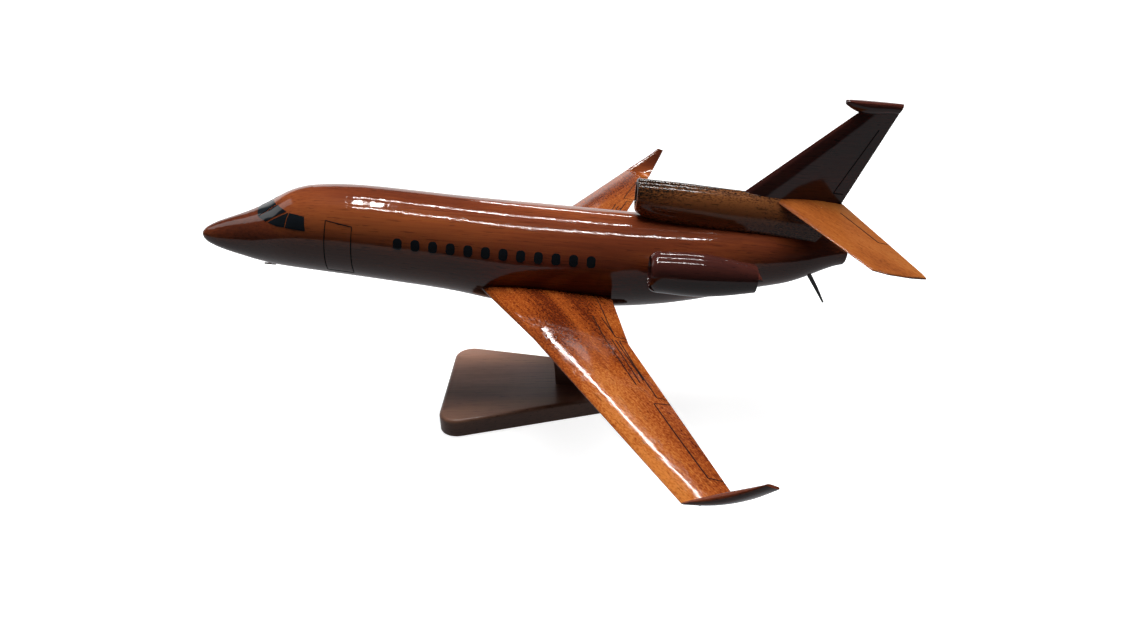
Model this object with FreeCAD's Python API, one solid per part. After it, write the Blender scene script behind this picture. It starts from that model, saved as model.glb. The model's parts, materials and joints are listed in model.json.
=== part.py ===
# Desktop model of a three-engined business jet, carved in mahogany, on a wooden stand.
#
# Units are millimetres.  The aeroplane is drawn in its own flight frame: X runs aft from
# the nose tip, Y to starboard, Z up.  Every aeroplane piece is then seated on the stand,
# which is drawn in the final frame: its origin is the centre of the felt's underside.
# A steel peg, square to the fuselage, carries the aeroplane, which swivels and lifts off.

import FreeCAD, Part
import math
import os
from FreeCAD import Vector

# ---------------------------------------------------------------- driving dimensions
# fuselage
hull_length = 397.0
hull_scale = 1.0               # girth of the fuselage against the stations below
tail_exhaust_radius = 5.6
tail_exhaust_floor_radius = 4.1
tail_exhaust_depth = 6.0
tail_round = 1.6

# wing: planform half-spans, chords and thickness, measured at root, kink and tip
wing_root_lead = 173.2         # leading edge behind the nose tip, at the root station
wing_root_chord = 81.0
wing_root_station = 20.0
wing_kink_station = 90.0
wing_kink_lead = 211.1
wing_kink_chord = 50.9
wing_tip_station = 220.0
wing_tip_lead = 272.3
wing_tip_chord = 23.9
wing_root_thickness = 8.6
wing_kink_thickness = 5.6
wing_tip_thickness = 2.6
wing_above_keel = 16.3         # root station's middle above the fuselage's keel
wing_dihedral = 2.36           # degrees
wing_edge = 0.8                # thickness of the trailing edge

# winglet
wing_tip_skew = 4.5            # the tip joint's front end lies this far outboard of its rear end
winglet_height = 19.4
winglet_lean = 10.3            # how far its tip's leading edge stands outboard of its root's
winglet_sweep = 27.0           # how far its tip's leading edge lies behind its root's
winglet_tip_chord = 4.9
winglet_tip_drop = 1.3         # how far the tip's trailing edge lies below its leading edge
winglet_thickness = 3.8          # through its bend
winglet_tip_thickness = 1.3

# side engines
nacelle_length = 60.4
nacelle_radius = 12.4
nacelle_lip_radius = 10.4
nacelle_lip_round = 0.9
nacelle_exhaust_radius = 7.7
nacelle_bore_radius = 8.9
nacelle_bore_depth = 8.0
nacelle_bore_floor_radius = 8.1
nacelle_jet_radius = 6.2
nacelle_jet_depth = 4.0
nacelle_from_tail = 123.6      # intake ahead of the fuselage's tail end
nacelle_height = 9.7           # axis above the flight frame's X axis
pylon_gap = 7.2                # width of daylight between fuselage and nacelle
pylon_chord = 46.0
pylon_lead = 19.0              # pylon's leading edge behind the nacelle's intake
pylon_thickness = 5.0
pylon_height = -0.8            # above the nacelle's axis

# centre engine duct, on the crown
duct_from_tail = 132.0
duct_bore_radius = 7.6
duct_bore_depth = 11.0
duct_bore_floor_radius = 6.9
duct_rear_from_tail = 8.0
duct_rear_rake = 31.0          # degrees from upright
duct_rear_height = 21.0        # the rear saw cut passes this far above the crown

# fin and its tip fairing
fin_lead_from_tail = 72.6      # leading edge at the root station
fin_root_chord = 63.4
fin_root_rise = 17.2           # root station above the crown
fin_height = 57.0              # tip station above the root station
fin_tip_lead_from_tail = 9.8
fin_tip_chord = 22.0
fin_root_thickness = 7.2
fin_tip_thickness = 3.8
fairing_length = 36.0           # before its rear end is sawn off in line with the fin
fairing_half_width = 3.9
fairing_height = 6.6
fairing_inset = 0.9            # its sawn end ahead of the fin's trailing edge
fairing_above_fin = 5.1        # flat top above the fin's tip station
fairing_overhang = 9.4         # how far it runs ahead of the fin's leading edge

# stabilizers
stab_root_station = 2.0
stab_root_rise = 19.2          # root station above the crown
stab_root_lead_from_tail = 49.4
stab_root_chord = 41.6
stab_tip_station = 75.8
stab_tip_lead_from_tail = 11.8
stab_tip_chord = 26.4
stab_round = 4.8               # length of the rounded tip
stab_root_thickness = 4.4
stab_tip_thickness = 2.2
stab_anhedral = 8.6            # degrees

# glazing, painted films
film_thickness = 0.2
film_bed = 0.02
pane_plug_depth = 6.0          # plugs that stamp the panes out of the skin
cabin_plug_depth = 20.0
cabin_window_count = 12
cabin_window_first = 126.6
cabin_window_pitch = 10.37
cabin_window_width = 5.2
cabin_window_height = 6.6
cabin_window_corner = 2.2
cabin_window_level = 7.5       # height of the first window's centre
cabin_window_drop = 0.014      # fall per millimetre aft

# small metal fittings
probe_station = 43.0
probe_spread = 3.2
probe_radius = 0.6
probe_reach = 1.0
probe_length = 7.0
aerial_from_tail = 21.8
aerial_length = 22.0
aerial_width = 3.6
aerial_thickness = 1.4

# stand
felt_thickness = 1.0
felt_inset = 4.0
base_length = 125.0
base_front_width = 103.5
base_rear_width = 36.5
base_thickness = 12.0
base_corner = 12.0
base_top_round = 2.2
base_foot_round = 0.8
neck_thickness = 12.0
neck_height = 58.1             # base top to neck top, along the peg
neck_foot_front = 10.6         # X of the neck's foot, front and back
neck_foot_back = 50.0
neck_top_front = 3.4           # X of the neck's top, front and back
neck_top_back = 35.0
neck_round = 1.5
peg_station = 228.0            # where the peg enters the belly, behind the nose tip
peg_row_x = 19.0               # the same point, from the base's centre
peg_radius = 2.5
peg_in_neck = 18.0
peg_in_belly = 18.0
pitch = 6.0                    # nose-up attitude, degrees
screw_radius = 1.75
screw_length = 30.0
screw_head_radius = 3.4
screw_spacing = 22.0

# dowels inside the glued joints
wing_dowel_radius = 2.0
fin_dowel_radius = 1.4
duct_dowel_radius = 2.0
stab_dowel_radius = 1.0
pylon_dowel_radius = 1.2
winglet_pin_radius = 0.5
dowel_clearance = 0.05
dowel_end_gap = 0.3
wing_dowel_shares = (0.34, 0.66)       # places along the root chord
wing_dowel_reach = 16.0                # length inside the wing
wing_dowel_inner = 0.55                # inner end, as a share of the fuselage's radius
winglet_pin_shares = (0.33, 0.60)
winglet_pin_inboard = 4.0
winglet_pin_outboard = 1.8
pylon_dowel_shares = (0.28, 0.52)
pylon_dowel_in_hull = 8.0
pylon_dowel_in_pod = 7.0
duct_dowel_shares = (0.28, 0.58)
duct_dowel_in_hull = 8.0
duct_dowel_in_duct = 9.0
fin_dowel_shares = (0.38, 0.66)
fin_dowel_below_root = 10.0
fin_dowel_above_root = 14.0
stab_dowel_shares = (0.36, 0.62)
stab_dowel_half_length = 11.0
stab_dowel_station = 6.0               # half-span at which the dowels meet the stabilizer's middle plane
probe_root = 3.0                       # depth of the probes' stems in the nose
aerial_root = 3.0                      # depth of the blade in the tail cone
screw_below_felt_face = 0.3            # screw heads lie this far inside the base's underside
screw_slot_width = 0.9
screw_slot_depth = 0.7
screw_point_length = 4.0
peg_chamfer = 0.4
waste = 80.0                           # side of the blocks that stand for wood sawn off

glue_line = 0.05               # between glued wooden pieces
rest_gap = 0.3                 # between the belly and the neck's top
running_clearance = 0.05       # radial, between the peg and its two bores

# ---------------------------------------------------------------- fuselage lines
# Distance behind the nose, crown height, keel height; the last station is the tail end.
hull_stations = [
    (0.0, -6.2, -6.2),
    (4.0, -0.9, -11.5),
    (14.0, 4.1, -15.2),
    (30.0, 10.8, -18.9),
    (44.0, 18.3, -21.2),
    (58.0, 26.4, -22.2),
    (72.0, 29.8, -23.0),
    (100.0, 31.4, -24.8),
    (140.0, 30.1, -27.8),
    (160.0, 29.4, -29.8),
    (185.0, 28.7, -33.4),
    (220.0, 28.1, -34.0),
    (262.0, 27.5, -31.4),
    (300.0, 26.9, -25.4),
    (345.0, 25.8, -13.0),
    (375.0, 24.2, -3.9),
    (397.0, 22.5, 5.8),
]
hull_rings = 30
nose_flat = 0.012              # the first ring's parameter: a flat under 1 mm wide at the nose tip


def blend(a, b, t):
    return a + (b - a) * t


def hull_parameter(x):
    """Stations are spaced by the square root of distance, which rounds the nose."""
    return math.sqrt(min(max(x / hull_length, 0.0), 1.0))


def make_hull_line():
    points = []
    for x, crown, keel in hull_stations:
        points.append(Vector(math.sqrt(x / hull_stations[-1][0]), crown * hull_scale, keel * hull_scale))
    line = Part.BSplineCurve()
    line.interpolate(Points=points, Parameters=[p.x for p in points])
    return line


hull_line = make_hull_line()


def crown(x):
    return hull_line.value(hull_parameter(x)).y


def keel(x):
    return hull_line.value(hull_parameter(x)).z


def hull_axis(x):
    return (crown(x) + keel(x)) / 2


def hull_radius(x):
    return (crown(x) - keel(x)) / 2


def hull_side(x, z):
    """Half-width of the fuselage at station x and height z."""
    inside = hull_radius(x) ** 2 - (z - hull_axis(x)) ** 2
    return math.sqrt(max(inside, 0.0))


def hull(grow=0.0):
    """The fuselage's outer form, larger all round by grow."""
    sections = []
    for i in range(hull_rings + 1):
        x = hull_length * blend(nose_flat, 1.0, i / hull_rings) ** 2
        circle = Part.Circle(Vector(x, 0, hull_axis(x)), Vector(1, 0, 0), hull_radius(x) + grow)
        sections.append(Part.Wire(circle.toShape()))
    return Part.makeLoft(sections, True, False, False, 3)


# ---------------------------------------------------------------- helpers
def foil(lead, trail, thickness, up, edge=wing_edge):
    """Closed aerofoil wire from a leading-edge point to a trailing-edge point."""
    steps = 10
    chord = trail - lead
    along = Vector(chord).normalize()
    over = (up - along * up.dot(along)).normalize()
    upper, lower = [], []
    for i in range(steps + 1):
        u = 0.5 * (1 - math.cos(math.pi * i / steps))
        form = 1.4845 * math.sqrt(u) - 0.63 * u - 1.758 * u ** 2 + 1.4215 * u ** 3 - 0.5180 * u ** 4
        half = form * (thickness - edge / 2) + u * edge / 2
        upper.append(lead + chord * u + over * half)
        lower.append(lead + chord * u - over * half)
    outline = Part.BSplineCurve()
    outline.interpolate(upper[::-1] + lower[1:])
    closing = Part.LineSegment(lower[-1], upper[-1])
    return Part.Wire([outline.toShape(), closing.toShape()])


def mirror(shape):
    """The starboard piece's port twin, or the other way round."""
    return shape.mirror(Vector(0, 0, 0), Vector(0, 1, 0))


def rod(start, end, radius):
    run = end - start
    return Part.makeCylinder(radius, run.Length, start, run)


def rod_hole(start, end, radius, clearance=dowel_clearance):
    """The hole for rod(start, end, radius), with a gap round it and at both ends."""
    step = (end - start).normalize() * dowel_end_gap
    return rod(start - step, end + step, radius + clearance)


def drill(shape, rods, clearance=dowel_clearance):
    holes = [rod_hole(start, end, radius, clearance) for start, end, radius in rods]
    return shape.cut(Part.makeCompound(holes))


# ---------------------------------------------------------------- wing and winglet
def wing_plan(y):
    """Leading edge, trailing edge and thickness of the wing at half-span y."""
    if y <= wing_kink_station:
        t = (y - wing_root_station) / (wing_kink_station - wing_root_station)
        lead = blend(wing_root_lead, wing_kink_lead, t)
        chord = blend(wing_root_chord, wing_kink_chord, t)
        return lead, lead + chord, blend(wing_root_thickness, wing_kink_thickness, t)
    t = (y - wing_kink_station) / (wing_tip_station - wing_kink_station)
    lead = blend(wing_kink_lead, wing_tip_lead, t)
    chord = blend(wing_kink_chord, wing_tip_chord, t)
    return lead, lead + chord, blend(wing_kink_thickness, wing_tip_thickness, t)


wing_datum = keel((wing_root_lead + wing_root_lead + wing_root_chord) / 2) + wing_above_keel


def wing_level(y):
    """Height of the wing's middle plane at half-span y."""
    return wing_datum + (y - wing_root_station) * math.tan(math.radians(wing_dihedral))


def wing_point(x, y):
    return Vector(x, y, wing_level(y))


def wing_tip_points():
    """The ends of the skewed joint between wing and winglet."""
    lead_y = wing_tip_station + wing_tip_skew
    lead_x = wing_plan(lead_y)[0]
    trail_x = wing_plan(wing_tip_station)[1]
    return wing_point(lead_x, lead_y), wing_point(trail_x, wing_tip_station)


def wing_blank():
    sections = []
    for y in (wing_root_station, wing_kink_station):
        lead, trail, thickness = wing_plan(y)
        sections.append(foil(wing_point(lead, y), wing_point(trail, y), thickness, Vector(0, 0, 1)))
    lead, trail = wing_tip_points()
    sections.append(foil(lead, trail, wing_tip_thickness, Vector(0, 0, 1)))
    return Part.makeLoft(sections, True, True)


def blend_point(a, b, shares):
    return Vector(blend(a.x, b.x, shares[0]), blend(a.y, b.y, shares[1]), blend(a.z, b.z, shares[2]))


def winglet_blank():
    lead, trail = wing_tip_points()
    # along the bend: shares of the sweep, the lean and the rise; how far the inner face has
    # turned inboard, in degrees; and the thickness
    bend = [((0.0, 0.0, 0.0), 0, wing_tip_thickness),
            ((0.22, 0.27, 0.20), 38, winglet_thickness),
            ((0.57, 0.60, 0.53), 57, winglet_thickness),
            ((1.0, 1.0, 1.0), 63, winglet_tip_thickness)]
    tip_lead = lead + Vector(winglet_sweep, winglet_lean, winglet_height)
    tip_trail = tip_lead + Vector(winglet_tip_chord, 0, -winglet_tip_drop)
    sections = []
    for shares, turn, thickness in bend:
        front = blend_point(lead, tip_lead, shares)
        back = blend_point(trail, tip_trail, shares)
        up = Vector(0, -math.sin(math.radians(turn)), math.cos(math.radians(turn)))
        sections.append(foil(front, back, thickness, up))
    return Part.makeLoft(sections, True, False, False, 3)


def wing_dowels():
    """Two dowels through the root joint, along the wing's own slope."""
    rods = []
    for share in wing_dowel_shares:
        lead, trail, thickness = wing_plan(wing_root_station)
        x = blend(lead, trail, share)
        inner = hull_radius(x) * wing_dowel_inner
        outer = hull_radius(x) + wing_dowel_reach
        rods.append((wing_point(x, inner), wing_point(x, outer), wing_dowel_radius))
    return rods


def winglet_pins():
    lead, trail = wing_tip_points()
    across = Vector(0, 1, math.tan(math.radians(wing_dihedral))).normalize()
    rods = []
    for share in winglet_pin_shares:
        middle = lead + (trail - lead) * share
        rods.append((middle - across * winglet_pin_inboard, middle + across * winglet_pin_outboard,
                     winglet_pin_radius))
    return rods


# ---------------------------------------------------------------- side engines
nacelle_x = hull_length - nacelle_from_tail
nacelle_y = hull_radius(nacelle_x + nacelle_length / 2) + pylon_gap + nacelle_radius


def nacelle_blank(grow=0.0, hollow=True):
    """The turned pod on its own axis, then moved to its place."""
    profile = [(0.0, nacelle_lip_radius - nacelle_lip_round), (nacelle_lip_round, nacelle_lip_radius),
               (0.13 * nacelle_length, blend(nacelle_lip_radius, nacelle_radius, 0.72)),
               (0.34 * nacelle_length, nacelle_radius),
               (0.62 * nacelle_length, blend(nacelle_radius, nacelle_exhaust_radius, 0.18)),
               (0.86 * nacelle_length, blend(nacelle_radius, nacelle_exhaust_radius, 0.66)),
               (nacelle_length, nacelle_exhaust_radius)]
    outline = Part.BSplineCurve()
    outline.interpolate([Vector(x, 0, r + grow) for x, r in profile])
    front = Vector(0, 0, profile[0][1] + grow)
    back = Vector(nacelle_length, 0, nacelle_exhaust_radius + grow)
    axis_front, axis_back = Vector(0, 0, 0), Vector(nacelle_length, 0, 0)
    half = Part.Wire([outline.toShape(), Part.LineSegment(back, axis_back).toShape(),
                      Part.LineSegment(axis_back, axis_front).toShape(),
                      Part.LineSegment(axis_front, front).toShape()])
    pod = Part.Face(half).revolve(Vector(0, 0, 0), Vector(1, 0, 0), 360)
    if hollow:
        intake = Part.makeCone(nacelle_bore_radius, nacelle_bore_floor_radius, nacelle_bore_depth,
                               Vector(0, 0, 0), Vector(1, 0, 0))
        jet = Part.makeCylinder(nacelle_jet_radius, nacelle_jet_depth,
                                Vector(nacelle_length - nacelle_jet_depth, 0, 0), Vector(1, 0, 0))
        pod = pod.cut(intake).cut(jet)
    pod.translate(Vector(nacelle_x, nacelle_y, nacelle_height))
    return pod


def pylon_blank():
    """A short foil from the fuselage's side to the pod, trimmed to both later."""
    z = nacelle_height + pylon_height
    lead = nacelle_x + pylon_lead
    trail = lead + pylon_chord
    inner = hull_side(trail, z) * 0.7
    sections = []
    for y in (inner, nacelle_y):
        sections.append(foil(Vector(lead, y, z), Vector(trail, y, z), pylon_thickness, Vector(0, 0, 1)))
    return Part.makeLoft(sections, True, True)


def pylon_dowels():
    z = nacelle_height + pylon_height
    rods = []
    pod_side = nacelle_y - nacelle_radius
    for share in pylon_dowel_shares:
        x = nacelle_x + pylon_lead + pylon_chord * share
        skin = hull_side(x, z)
        rods.append((Vector(x, skin - pylon_dowel_in_hull, z), Vector(x, pod_side + pylon_dowel_in_pod, z),
                     pylon_dowel_radius))
    return rods


# ---------------------------------------------------------------- centre duct, fin, stabilizers
duct_x = hull_length - duct_from_tail
duct_end = hull_length - duct_rear_from_tail
# share of the duct's length, top and bottom above the crown line, half-width
duct_stations = [
    (0.0, 22.4, 2.8, 9.9),
    (0.10, 22.3, -3.0, 10.4),
    (0.25, 22.0, -5.5, 10.6),
    (0.40, 21.3, -8.0, 10.2),
    (0.60, 20.8, -9.5, 9.8),
    (0.80, 20.6, -10.5, 9.6),
    (1.06, 21.4, -11.0, 9.4),
]
duct_rings = 14
duct_lip_round = 1.2


def make_duct_line():
    line = Part.BSplineCurve()
    line.interpolate(Points=[Vector(*station[1:]) for station in duct_stations],
                     Parameters=[station[0] for station in duct_stations])
    return line


duct_line = make_duct_line()


def duct_blank(grow=0.0):
    sections = []
    for i in range(duct_rings + 1):
        share = duct_stations[-1][0] * i / duct_rings
        form = duct_line.value(share)
        x = duct_x + share * (duct_end - duct_x)
        tall, wide = (form.x - form.y) / 2 + grow, form.z + grow
        centre = Vector(x, 0, crown(x) + (form.x + form.y) / 2)
        if tall >= wide:
            oval = Part.Ellipse(centre + Vector(0, 0, tall), centre + Vector(0, wide, 0), centre)
        else:
            oval = Part.Ellipse(centre + Vector(0, wide, 0), centre + Vector(0, 0, tall), centre)
        sections.append(Part.Wire(oval.toShape()))
    body = Part.makeLoft(sections, True, False, False, 3)
    body = body.makeFillet(duct_lip_round, [e for e in body.Edges if e.BoundBox.XMax < duct_x + 1e-3])
    # the rear end is sawn at a rake, its foot ahead of its top
    saw = Part.makeBox(waste, waste, 2 * waste, Vector(0, -waste / 2, -waste))
    saw.rotate(Vector(0, 0, 0), Vector(0, 1, 0), duct_rear_rake)
    saw.translate(Vector(duct_end + grow, 0, crown(duct_end) + duct_rear_height))
    return body.cut(saw)


def duct_bore():
    centre = Vector(duct_x, 0, crown(duct_x) + (duct_stations[0][1] + duct_stations[0][2]) / 2)
    return Part.makeCone(duct_bore_radius, duct_bore_floor_radius, duct_bore_depth, centre, Vector(1, 0, 0))


def duct_dowels():
    rods = []
    for share in duct_dowel_shares:
        x = duct_x + share * (duct_end - duct_x)
        foot, head = crown(x) - duct_dowel_in_hull, crown(x) + duct_dowel_in_duct
        rods.append((Vector(x, 0, foot), Vector(x, 0, head), duct_dowel_radius))
    return rods


fin_root_lead = hull_length - fin_lead_from_tail
fin_tip_lead = hull_length - fin_tip_lead_from_tail
fin_root_level = crown(fin_root_lead + fin_root_chord / 2) + fin_root_rise
fin_tip_level = fin_root_level + fin_height


def fin_edge(z):
    """Leading and trailing edge of the fin at height z."""
    t = (z - fin_root_level) / fin_height
    lead = blend(fin_root_lead, fin_tip_lead, t)
    return lead, lead + blend(fin_root_chord, fin_tip_chord, t)


def fin_blank(grow=0.0):
    sections = []
    for z, thickness in ((fin_root_level, fin_root_thickness), (fin_tip_level, fin_tip_thickness)):
        lead, trail = fin_edge(z)
        sections.append(foil(Vector(lead - grow, 0, z), Vector(trail + grow, 0, z),
                             thickness + 2 * grow, Vector(0, 1, 0)))
    return Part.makeLoft(sections, True, True)


def fin_dowels():
    rods = []
    for share in fin_dowel_shares:
        foot = fin_root_lead + fin_root_chord * share
        rods.append((Vector(foot, 0, fin_root_level - fin_dowel_below_root),
                     Vector(foot, 0, fin_root_level + fin_dowel_above_root), fin_dowel_radius))
    return rods


def fairing_blank():
    """Bullet on top of the fin: flat top, boat-shaped belly, raked tail."""
    front = fin_tip_lead - fairing_overhang
    top = fin_tip_level + fairing_above_fin
    # share of length, half-width, depth under the flat top
    stations = [(0.0, 0.25, 0.30), (0.06, 0.62, 0.50), (0.22, 0.98, 0.88), (0.45, 1.0, 1.0),
                (1.0, 0.30, 0.90)]
    sections = []
    for share, wide, deep in stations:
        x = front + share * fairing_length
        w, d = wide * fairing_half_width, deep * fairing_height
        arc = Part.Arc(Vector(x, -w, top), Vector(x, 0, top - d), Vector(x, w, top))
        lid = Part.Arc(Vector(x, w, top), Vector(x, 0, top + 0.12 * w + 0.3), Vector(x, -w, top))
        sections.append(Part.Wire([arc.toShape(), lid.toShape()]))
    bullet = Part.makeLoft(sections, True, False, False, 3)
    root_trail, tip_trail = fin_edge(fin_root_level)[1], fin_edge(fin_tip_level)[1]
    rake = math.degrees(math.atan2(tip_trail - root_trail, fin_height))
    saw = Part.makeBox(waste, waste, 2 * waste, Vector(0, -waste / 2, -waste))
    saw.rotate(Vector(0, 0, 0), Vector(0, 1, 0), rake)
    saw.translate(Vector(tip_trail - fairing_inset, 0, fin_tip_level))
    return bullet.cut(saw)


stab_root_lead = hull_length - stab_root_lead_from_tail
stab_root_level = crown(stab_root_lead + stab_root_chord / 2) + stab_root_rise


def stab_level(y):
    return stab_root_level - (y - stab_root_station) * math.tan(math.radians(stab_anhedral))


def stab_blank():
    tip_lead = hull_length - stab_tip_lead_from_tail
    tip_trail = tip_lead + stab_tip_chord
    stations = [(stab_root_station, stab_root_lead, stab_root_lead + stab_root_chord, stab_root_thickness)]
    stations.append((stab_tip_station, tip_lead, tip_trail, stab_tip_thickness))
    stations.append((stab_tip_station + 0.62 * stab_round, tip_lead + 0.26 * stab_tip_chord,
                     tip_trail + 0.6, 0.8 * stab_tip_thickness))
    stations.append((stab_tip_station + stab_round, tip_lead + 0.62 * stab_tip_chord,
                     tip_trail + 0.9, 0.55 * stab_tip_thickness))
    sections = []
    for y, lead, trail, thickness in stations:
        z = stab_level(y)
        sections.append(foil(Vector(lead, y, z), Vector(trail, y, z), thickness, Vector(0, 0, 1)))
    return Part.makeLoft(sections, True, True)


def stab_dowels():
    """Two straight dowels that pass through the duct block into both stabilizers."""
    z = stab_level(stab_dowel_station)
    rods = []
    for share in stab_dowel_shares:
        x = stab_root_lead + share * stab_root_chord
        rods.append((Vector(x, -stab_dowel_half_length, z), Vector(x, stab_dowel_half_length, z),
                     stab_dowel_radius))
    return rods


# ---------------------------------------------------------------- glazing
def hull_point(x, angle, side):
    """A point on the fuselage's skin, angle degrees down from the crown."""
    a = math.radians(angle)
    r = hull_radius(x)
    return Vector(x, side * r * math.sin(a), hull_axis(x) + r * math.cos(a))


def pane_prism(corners, side):
    """A straight plug whose end is the pane, square to the skin at the pane's middle."""
    points = [hull_point(x, angle, side) for x, angle in corners]
    middle = sum(points[1:], points[0]) * (1.0 / len(points))
    normal = (points[2] - points[0]).cross(points[3] - points[1]).normalize()
    if normal.dot(middle - Vector(middle.x, 0, hull_axis(middle.x))) < 0:
        normal = normal * -1
    flat = [p - normal * (p - middle).dot(normal) - normal * pane_plug_depth / 2 for p in points]
    return Part.Face(Part.makePolygon(flat + flat[:1])).extrude(normal * pane_plug_depth)


# corners of each cockpit pane: distance behind the nose, degrees down from the crown
cockpit_panes = [
    [(37.2, 3.0), (46.0, 3.0), (51.2, 29.0), (39.6, 38.0)],
    [(40.2, 40.0), (52.2, 30.8), (59.6, 48.2), (46.0, 54.4)],
    [(47.6, 57.2), (60.9, 50.2), (58.9, 70.2), (54.0, 67.0)],
    [(61.5, 50.6), (71.0, 56.6), (72.0, 75.2), (59.5, 70.8)],
]


def film():
    """A thin skin over the whole fuselage, from which the glazing is cut."""
    return hull(film_bed + film_thickness).cut(hull(film_bed))


def cabin_plugs(side):
    plugs = []
    for i in range(cabin_window_count):
        x = cabin_window_first + i * cabin_window_pitch
        z = cabin_window_level - cabin_window_drop * (x - cabin_window_first)
        corner = Vector(x - cabin_window_width / 2, hull_radius(x) - 0.6 * cabin_plug_depth,
                        z - cabin_window_height / 2)
        block = Part.makeBox(cabin_window_width, cabin_plug_depth, cabin_window_height, corner)
        across = [e for e in block.Edges if abs(e.tangentAt(e.FirstParameter).y) > 0.99]
        plugs.append(block.makeFillet(cabin_window_corner, across))
    row = Part.makeCompound(plugs)
    return row if side > 0 else mirror(row)


# ---------------------------------------------------------------- small metal fittings
def nose_probe(side):
    """A bent pin under the nose: a stem glued in the wood and a tube that points ahead."""
    root = Vector(probe_station, side * probe_spread, keel(probe_station))
    foot = root - Vector(0, 0, probe_reach)
    stem = rod(root + Vector(0, 0, probe_root), foot, probe_radius)
    ahead, behind = 0.75 * probe_length, 0.25 * probe_length
    tube = rod(foot + Vector(behind, 0, 0), foot - Vector(ahead, 0, 0), probe_radius)
    return stem.fuse(tube).fuse(Part.makeSphere(probe_radius, foot)).removeSplitter()


def probe_roots():
    roots = []
    for side in (-1, 1):
        root = Vector(probe_station, side * probe_spread, keel(probe_station))
        roots.append((root + Vector(0, 0, probe_root), root - Vector(0, 0, probe_reach), probe_radius))
    return roots


def tail_aerial():
    """A curved blade glued into the underside of the tail cone."""
    x = hull_length - aerial_from_tail
    root = Vector(x, 0, keel(x) + aerial_root)
    middle = root + Vector(0.36 * aerial_length, 0, -0.46 * aerial_length)
    tip = root + Vector(0.71 * aerial_length, 0, -0.93 * aerial_length)
    across = Vector(aerial_width, 0, 0)
    front = Part.Arc(root, middle, tip).toShape()
    end = Part.LineSegment(tip, tip + across * 0.35).toShape()
    back = Part.Arc(tip + across * 0.35, middle + across * 0.75, root + across).toShape()
    top = Part.LineSegment(root + across, root).toShape()
    blade = Part.Face(Part.Wire([front, end, back, top])).extrude(Vector(0, aerial_thickness, 0))
    blade.translate(Vector(0, -aerial_thickness / 2, 0))
    return blade


# ---------------------------------------------------------------- stand
def seat(shape):
    """Moves a piece from the flight frame to its place on the stand."""
    moved = shape.copy()
    moved.translate(Vector(-peg_station, 0, -rest_level))
    moved.rotate(Vector(0, 0, 0), Vector(0, 1, 0), pitch)
    moved.translate(Vector(peg_row_x, 0, peg_row_z))
    return moved


base_top = felt_thickness + base_thickness
peg_row_z = base_top + neck_height
neck_reach = max(peg_row_x - neck_top_front, neck_top_back - peg_row_x)
rest_level = min(keel(peg_station + step * neck_reach) for step in (-1.0, -0.5, 0.0, 0.5, 1.0)) - rest_gap
peg_line = Vector(math.sin(math.radians(pitch)), 0, math.cos(math.radians(pitch)))


def base_plan(inset, z):
    """The base's tapered outline, moved inwards by inset, as a flat face."""
    slope = (base_front_width - base_rear_width) / 2 / base_length
    front_x, rear_x = -base_length / 2 + inset, base_length / 2 - inset
    side_inset = inset * math.sqrt(1 + slope ** 2)
    front_y = base_front_width / 2 - slope * inset - side_inset
    rear_y = base_rear_width / 2 + slope * inset - side_inset
    corners = [Vector(front_x, -front_y, z), Vector(rear_x, -rear_y, z),
               Vector(rear_x, rear_y, z), Vector(front_x, front_y, z)]
    return Part.Face(Part.makePolygon(corners + corners[:1]))


def upright_edges(solid):
    return [e for e in solid.Edges if abs(e.BoundBox.ZLength) > 0.9 * solid.BoundBox.ZLength]


def level_edges(solid, z):
    return [e for e in solid.Edges if e.BoundBox.ZLength < 1e-4 and abs(e.BoundBox.ZMin - z) < 1e-4]


def screw_places():
    middle = (neck_foot_front + neck_foot_back) / 2
    return [middle - screw_spacing / 2, middle + screw_spacing / 2]


def screw(x, grow=0.0):
    """Countersunk wood screw, head down, just inside the base's underside."""
    foot = felt_thickness + screw_below_felt_face - grow
    head_height = screw_head_radius - screw_radius
    shank_length = screw_length - screw_point_length + grow
    head = Part.makeCone(screw_head_radius + grow, screw_radius + grow, head_height, Vector(x, 0, foot))
    shank = Part.makeCylinder(screw_radius + grow, shank_length, Vector(x, 0, foot + head_height))
    point = Part.makeCone(screw_radius + grow, 0.2 * screw_radius + grow, screw_point_length - head_height,
                          Vector(x, 0, foot + head_height + shank_length))
    return head.fuse(shank).fuse(point).removeSplitter()


def slotted_screw(x):
    slot = Part.makeBox(4 * screw_head_radius, screw_slot_width, screw_slot_depth,
                        Vector(x - 2 * screw_head_radius, -screw_slot_width / 2, felt_thickness))
    return screw(x).cut(slot)


def neck_blank():
    """A flat board with two curved edges, its top square to the peg."""
    over = peg_row_z + neck_height / 3
    rise = over - base_top

    def edge(foot_x, top_x):
        lean = (top_x - foot_x) * (rise / neck_height) ** 2
        return Part.Arc(Vector(foot_x, 0, base_top), Vector(foot_x + lean / 4, 0, base_top + rise / 2),
                        Vector(foot_x + lean, 0, over)).toShape()

    front = edge(neck_foot_front, neck_top_front)
    back = edge(neck_foot_back, neck_top_back)
    foot = Part.LineSegment(front.Vertexes[0].Point, back.Vertexes[0].Point).toShape()
    top = Part.LineSegment(front.Vertexes[-1].Point, back.Vertexes[-1].Point).toShape()
    outline = Part.Wire(Part.__sortEdges__([front, top, back, foot]))
    board = Part.Face(outline).extrude(Vector(0, neck_thickness, 0))
    board.translate(Vector(0, -neck_thickness / 2, 0))
    long_edges = [e for e in board.Edges if e.BoundBox.ZLength > 0.9 * rise]
    board = board.makeFillet(neck_round, long_edges)
    saw = Part.makeBox(2 * waste, waste, waste, Vector(-waste, -waste / 2, 0))
    saw.rotate(Vector(0, 0, 0), Vector(0, 1, 0), pitch)
    saw.translate(Vector(peg_row_x, 0, peg_row_z))
    return board.cut(saw)


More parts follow.
